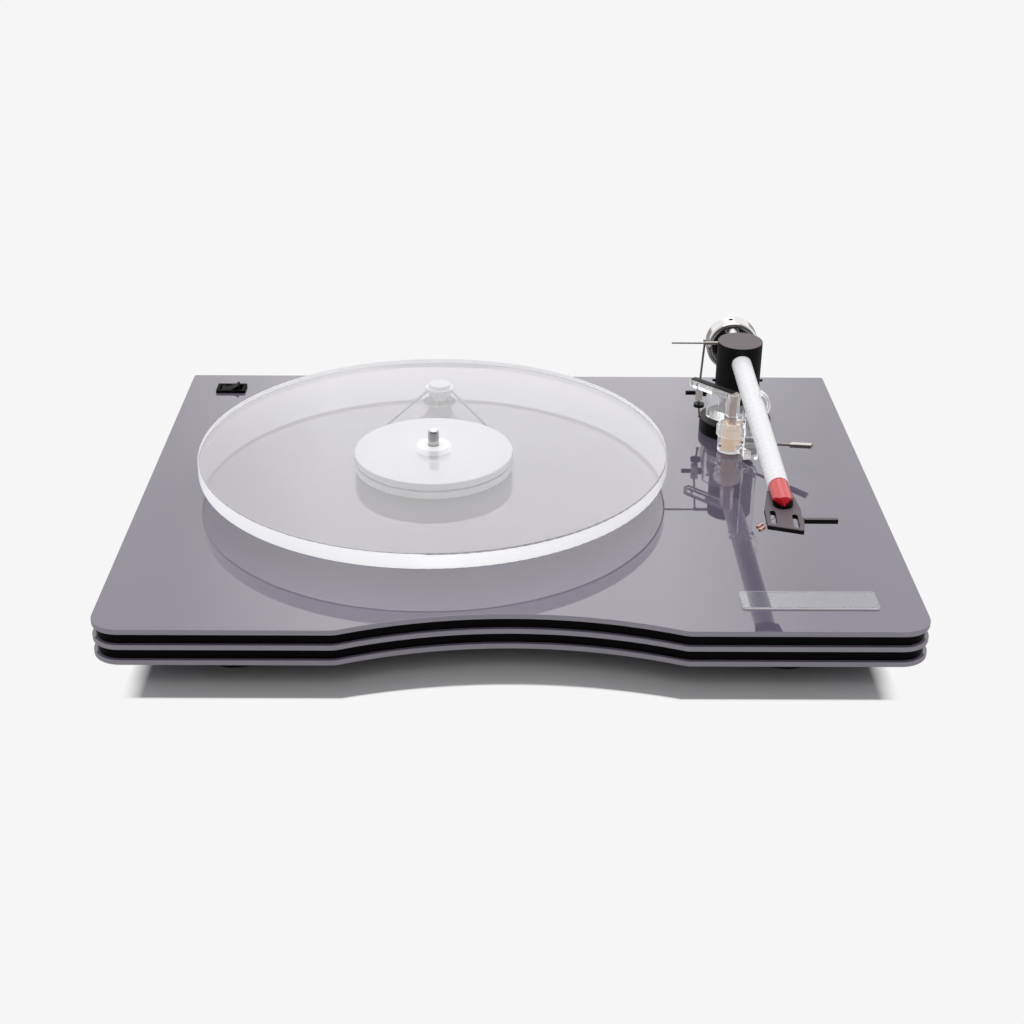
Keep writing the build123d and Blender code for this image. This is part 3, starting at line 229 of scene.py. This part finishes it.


# Opaque finish: vary is how far its colour strays, blotch and grain are the scales of its
# colour and of its roughness and bump. The side colour is painted light and shade: faces that look
# sideways get a lighter or darker copy of the colour, as light falls on them
def surface(name, colour, rough, metal=0.0, vary=0.06, grain=900.0, blotch=30.0, bump=0.05,
            stretch=None, side=None, **extra):
    made = Nodes(name)
    made.set(Metallic=metal, **extra)
    tone = made.noise(blotch, 5.0, stretch)
    tint = made.ramp(tone, ((noise_low, shade(colour, 1 - vary)),
                            (noise_high, shade(colour, 1 + vary))))
    # painted light and shade: faces that look sideways take the side colour in place of the top's
    if side:
        tint = made.blend(made.level_share(), side, tint)
    made.link(tint, made.shader.inputs["Base Color"])
    fine = made.noise(grain, 3.0, stretch)
    made.roughen(fine, rough * 0.8, rough * 1.25)
    made.bump(fine, bump)
    return made.material


# Clear plastic with painted edge light, whiter and glowing where it is seen edge on: veil is how
# milky it is, glow and the rim glow how bright its painted edges are, by the angle that they are
# seen at or by the way that they look
def clear(name, colour, painted_edge_light, rough, veil, glow, painted_rim_glow=None):
    made = Nodes(name)
    made.set(IOR=clear_ior)
    weight = made.add("ShaderNodeLayerWeight")
    weight.inputs["Blend"].default_value = clear_facing
    facing = weight.outputs["Facing"]
    # painted sheen: the colour whitens towards the edge light where a face is seen edge on
    made.link(made.ramp(facing, ((0.35, colour), (0.95, painted_edge_light))), made.shader.inputs["Base Color"])
    made.roughen(made.noise(clear_grain, 2.0), rough * 0.5, rough * 1.5)
    made.link(made.span(facing, 1 - veil, 1 - veil * 4, 0.2, 1.0),
              made.shader.inputs["Transmission Weight"])
    # painted glow: emission lights the faces that look sideways, or the faces seen edge on
    if painted_rim_glow:
        made.glow(made.ramp(made.level_share(), ((0.0, shade(painted_edge_light, painted_rim_glow)), (1.0, shade(painted_edge_light, glow)))))
    else:
        made.glow(made.ramp(facing, ((0.5, shade(painted_edge_light, glow / 20)), (1.0, shade(painted_edge_light, glow)))))
    return made.material


# Platter: clear through its faces, under a thin veil, with a frosted white rim. The rim's bright
# glow and the faint glow of the faces are painted light
def platter_material(name):
    made = Nodes(name)
    made.set(IOR=platter_ior)
    face = made.level_share()
    made.link(made.ramp(face, ((0.0, platter_rim_colour), (1.0, platter_face_colour))),
              made.shader.inputs["Base Color"])
    made.link(made.span(face, platter_rim_clear, platter_face_clear),
              made.shader.inputs["Transmission Weight"])
    made.roughen(made.noise(platter_grain, 2.0), *platter_rough)
    # painted light: emission makes the rim glow and the faces glow faintly
    made.glow(made.ramp(face, ((0.0, platter_rim_painted_glow), (1.0, platter_face_painted_glow))))
    return made.material


SURFACES = {
    # painted light: the plate edges are a lighter copy of the grey, for the light that falls on them
    "plate_grey": dict(colour=(0.126, 0.108, 0.156), rough=0.025, side=(0.22, 0.205, 0.245),
                       vary=0.02, grain=60.0, blotch=4.0, bump=0.01, IOR=2.05),
    "core_black": dict(colour=(0.0015, 0.0015, 0.0018), rough=0.2, grain=300.0, IOR=1.15),
    "dark_screw": dict(colour=(0.010, 0.010, 0.011), rough=0.35, metal=0.3, IOR=1.25),
    "rubber_black": dict(colour=(0.004, 0.004, 0.004), rough=0.6, grain=2500.0, bump=0.3, IOR=1.2),
    "bearing_alloy": dict(colour=(0.62, 0.62, 0.63), rough=0.28, metal=1.0, stretch=(1, 1, 20)),
    "steel": dict(colour=(0.56, 0.56, 0.57), rough=0.16, metal=1.0, stretch=(1, 1, 14)),
    "white_gloss": dict(colour=(0.93, 0.93, 0.935), rough=0.2, vary=0.008, grain=300.0, bump=0.01,
                        IOR=1.35),
    "pulley_white": dict(colour=(0.90, 0.90, 0.90), rough=0.15, vary=0.01),
    "belt_grey": dict(colour=(0.13, 0.115, 0.13), rough=0.45, grain=3000.0, bump=0.2),
    "motor_metal": dict(colour=(0.5, 0.5, 0.51), rough=0.3, metal=1.0),
    "stator_iron": dict(colour=(0.2, 0.19, 0.18), rough=0.4, metal=1.0, stretch=(1, 1, 60)),
    "switch_black": dict(colour=(0.003, 0.003, 0.003), rough=0.5, grain=2600.0, bump=0.25,
                         IOR=1.1),
    "rocker_black": dict(colour=(0.002, 0.002, 0.002), rough=0.4, grain=1500.0, IOR=1.12),
    "board_green": dict(colour=(0.02, 0.11, 0.04), rough=0.4),
    "brass": dict(colour=(0.80, 0.58, 0.30), rough=0.22, metal=1.0, stretch=(1, 1, 18)),
    # painted light: lightened brass with a glow, though the sleeve is no lamp
    "sleeve_brass_painted_light": dict(colour=(1.0, 0.74, 0.50), rough=0.25, metal=0.15, stretch=(1, 1, 18),
                         Emission_Color=(1.0, 0.66, 0.44, 1), Emission_Strength=0.22),
    "plunger_brass": dict(colour=(0.70, 0.54, 0.48), rough=0.2, metal=0.4, stretch=(1, 1, 18)),
    "base_black": dict(colour=(0.003, 0.003, 0.003), rough=0.3, grain=1500.0, IOR=1.22),
    "pillar_black": dict(colour=(0.005, 0.005, 0.005), rough=0.35, IOR=1.35),
    # painted light and shade: a lit grey top over black sides, on a black cup
    "cup_black": dict(colour=(0.145, 0.125, 0.136), rough=0.5, side=(0.002, 0.002, 0.002),
                      vary=0.02, grain=1800.0, bump=0.1, IOR=1.3),
    "jewel_red": dict(colour=(0.4, 0.03, 0.08), rough=0.05),
    "tube_white": dict(colour=(0.84, 0.84, 0.865), rough=0.25, vary=0.008, grain=300.0, bump=0.0,
                       IOR=1.3),
    "cap_red": dict(colour=(0.60, 0.010, 0.016), rough=0.16, vary=0.02, grain=1500.0, bump=0.02,
                    IOR=1.7),
    "nose_black": dict(colour=(0.002, 0.002, 0.002), rough=0.3, IOR=1.2),
    # painted light and shade: a lit grey top over sides shaded to black
    "shell_grey": dict(colour=(0.140, 0.117, 0.130), rough=0.5, side=(0.002, 0.002, 0.002),
                       grain=2200.0, bump=0.05, IOR=1.3),
    "lead_white": dict(colour=(0.75, 0.75, 0.8), rough=0.4),
    "clip_copper": dict(colour=(0.66, 0.38, 0.30), rough=0.25, metal=0.7),
    "weight_polished": dict(colour=(0.70, 0.68, 0.665), rough=0.13, metal=1.0,
                            stretch=(1, 16, 1)),
    "insert_black": dict(colour=(0.004, 0.003, 0.003), rough=0.3, IOR=1.25),
    "wire_steel": dict(colour=(0.44, 0.41, 0.38), rough=0.22, metal=1.0),
    "bias_alloy": dict(colour=(0.80, 0.77, 0.73), rough=0.3, metal=0.4),
    "axle_black": dict(colour=(0.003, 0.003, 0.003), rough=0.35, IOR=1.25),
    "pad_black": dict(colour=(0.010, 0.010, 0.011), rough=0.45, grain=2500.0, bump=0.3, IOR=1.3),
    "lever_steel": dict(colour=(0.40, 0.36, 0.34), rough=0.22, metal=1.0, stretch=(20, 1, 1)),
}
CLEARS = {
    # painted light: the plate's sideways faces glow brightly and its level faces faintly
    "name_plate_clear": dict(colour=(0.93, 0.93, 0.96), painted_edge_light=(0.98, 0.98, 0.99), rough=0.02,
                             veil=0.012, glow=0.03, painted_rim_glow=0.22),
    # painted highlight: faces seen edge on glow
    "clear_part": dict(colour=(0.98, 0.98, 0.985), painted_edge_light=(1.0, 1.0, 1.0), rough=0.01,
                       veil=0.08, glow=0.8),
}
MATERIALS = {name: surface(name, **look) for name, look in SURFACES.items()}
MATERIALS.update({name: clear(name, **look) for name, look in CLEARS.items()})
MATERIALS["platter_clear"] = platter_material("platter_clear")

slot_of = {part["node"]: part["material_slot"] for part in frame["record"]["subparts"]}
# The sleeve stands inside clear plastic, so it has a brass of its own with painted light, lightened
# and glowing
slot_of["lift_sleeve"] = "sleeve_brass_painted_light"
for node, thing in NODES.items():
    wanted = MATERIALS[slot_of[node]]
    if not thing.material_slots:
        thing.data.materials.append(wanted)
    for slot in thing.material_slots:
        slot.material = wanted


# Floor, world and lamp
# 1 in the patch under the plinth, 0 on the rest of the floor
def shadow_share(made):
    place = made.split(made.add("ShaderNodeNewGeometry").outputs["Position"])
    off_x = made.maths("ABSOLUTE", place["X"])
    off_y = made.maths("ABSOLUTE", place["Y"])
    share = made.maths("DIVIDE", off_x, shadow_bow_half_width)
    bow = made.maths("SUBTRACT", 1.0, made.maths("MULTIPLY", share, share))
    bow = made.maths("MAXIMUM", made.maths("MULTIPLY", bow, shadow_bow_depth), 0.0)
    front = made.maths("LESS_THAN", place["Y"], 0.0)
    far_y = made.maths("ADD", off_y, made.maths("MULTIPLY", front, bow))
    wide = made.span(off_x, 1.0, 0.0, shadow_half_width - shadow_fade_beside, shadow_half_width)
    deep = made.span(far_y, 1.0, 0.0, shadow_half_depth - shadow_fade, shadow_half_depth)
    return made.maths("MULTIPLY", wide, deep)


# Adds an even glow of one level over a shader, by share
def lay_over(made, under, level, share):
    glow = made.add("ShaderNodeEmission")
    glow.inputs["Color"].default_value = (level, level, level, 1)
    mix = made.add("ShaderNodeMixShader")
    made.link(share, mix.inputs["Fac"])
    made.link(under, mix.inputs[1])
    made.link(glow.outputs["Emission"], mix.inputs[2])
    return mix.outputs["Shader"]


def floor_material():
    made = Nodes("floor")
    shadow = shadow_share(made)
    made.set(Base_Color=floor_colour, IOR=floor_ior)
    made.link(made.span(shadow, 0.0, shadow_mirror), made.shader.inputs["Metallic"])
    made.link(made.span(shadow, floor_rough, shadow_rough), made.shader.inputs["Roughness"])
    plain = made.span(shadow, 1.0, 0.0)
    rays = made.add("ShaderNodeLightPath").outputs
    mirrored = made.maths("MULTIPLY", plain, rays["Is Glossy Ray"])
    dim = lay_over(made, made.shader.outputs["BSDF"], floor_mirrored,
                   made.maths("MULTIPLY", mirrored, floor_mirrored_share))
    shown = lay_over(made, dim, world_seen, made.maths("MULTIPLY", plain, rays["Is Camera Ray"]))
    made.link(shown, made.output.inputs["Surface"])
    return made.material


def make_floor():
    half = floor_size / 2
    corners = [(-half, -half, 0), (half, -half, 0), (half, half, 0), (-half, half, 0)]
    mesh = bpy.data.meshes.new("floor")
    mesh.from_pydata(corners, [], [(0, 1, 2, 3)])
    mesh.materials.append(floor_material())
    floor = bpy.data.objects.new("floor", mesh)
    bpy.context.collection.objects.link(floor)


def make_world():
    world = bpy.data.worlds.new("world")
    world.use_nodes = True
    bpy.context.scene.world = world
    made = Tree(world.node_tree)
    way = made.split(made.add("ShaderNodeTexCoord").outputs["Generated"])
    along = made.span(way["Y"], world_mirrored_front, world_mirrored,
                      mirrored_front_from, mirrored_back_from)
    across = made.span(made.maths("ABSOLUTE", way["X"]), world_mirrored_middle,
                       world_mirrored_beside, mirrored_middle_to, mirrored_beside_from)
    rays = made.add("ShaderNodeLightPath").outputs
    lit = made.span(rays["Is Glossy Ray"], world_strength, made.maths("MULTIPLY", along, across))
    background = made.tree.nodes["Background"]
    background.inputs["Color"].default_value = (1, 1, 1, 1)
    made.link(made.span(rays["Is Camera Ray"], lit, world_seen), background.inputs["Strength"])


def make_light():
    data = bpy.data.lights.new("top_light", "AREA")
    data.shape = "RECTANGLE"
    data.size, data.size_y = light_size
    data.energy = light_power
    lamp = bpy.data.objects.new("top_light", data)
    bpy.context.collection.objects.link(lamp)
    lamp.location = light_place
    lamp.rotation_euler = (-Vector(light_place)).to_track_quat("-Z", "Y").to_euler()


make_floor()
make_world()
make_light()
